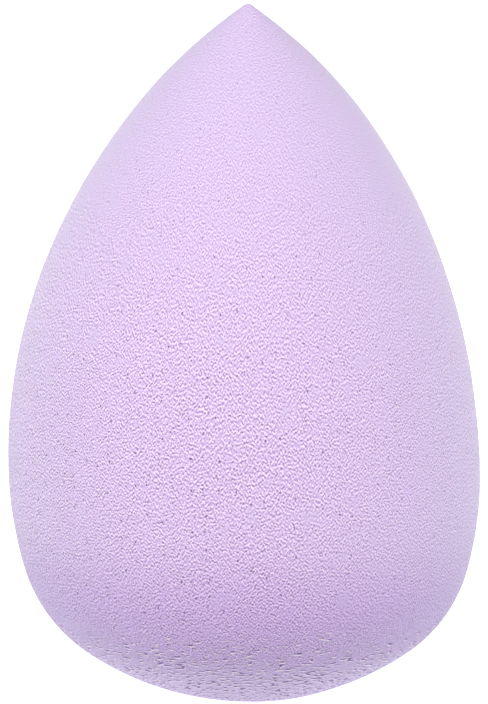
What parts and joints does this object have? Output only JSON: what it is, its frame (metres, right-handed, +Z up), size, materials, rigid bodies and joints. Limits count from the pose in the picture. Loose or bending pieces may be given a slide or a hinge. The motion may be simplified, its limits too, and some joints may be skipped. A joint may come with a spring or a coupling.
{
  "type": "makeup sponge",
  "caption": "Teardrop foam makeup sponge: a rounded belly and base for blending, and a pointed tip for fine areas. It stands on a small flat.",
  "frame": {"origin": "centre of the flat that the sponge stands on", "axes": "+Z up the sponge's axis to its tip; the body is round about Z, and +Y is away from the picture's camera"},
  "size_m": [0.041, 0.041, 0.06],
  "materials": {
    "lavender_foam": "soft matte open-cell polyurethane foam dyed lavender in the mix, with fine open pores about 0.3 mm apart"
  },
  "bodies": {
    "root": {"foam_body": "lavender_foam"}
  },
  "joints": []
}
